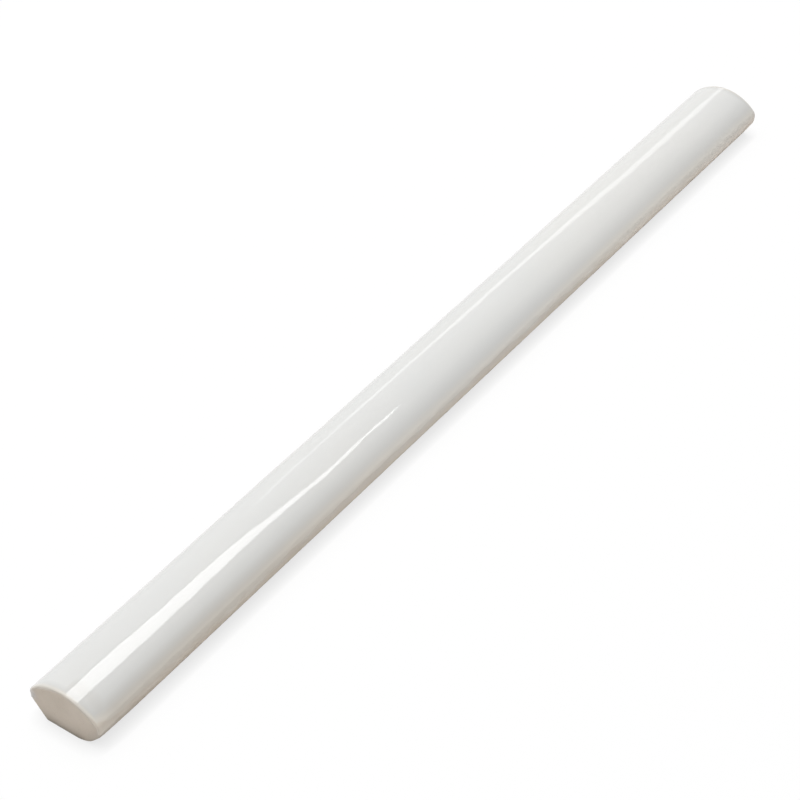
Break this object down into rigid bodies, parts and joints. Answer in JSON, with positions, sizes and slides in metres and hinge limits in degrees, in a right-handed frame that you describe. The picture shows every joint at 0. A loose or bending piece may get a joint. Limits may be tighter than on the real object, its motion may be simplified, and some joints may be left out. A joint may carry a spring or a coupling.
{
  "type": "bullnose tile",
  "caption": "Long narrow ceramic trim tile with a domed glossy white face, bare sides that are upright above and lean in below, and a flat back, for finishing the edge of a tiled wall.",
  "frame": {"origin": "middle of the flat back, in the plane that lies on the floor or against the wall", "axes": "+X across the bar towards the edge with the worn corner, +Y along the bar away from the worn end, +Z out of the back through the crown of the dome"},
  "size_m": [0.017, 0.23, 0.0107],
  "materials": {
    "glazed_bisque": "glossy white glaze over the domed face, bare matt beige clay on the edges, ends and back"
  },
  "bodies": {
    "root": {"bullnose_trim": "glazed_bisque"}
  },
  "joints": []
}
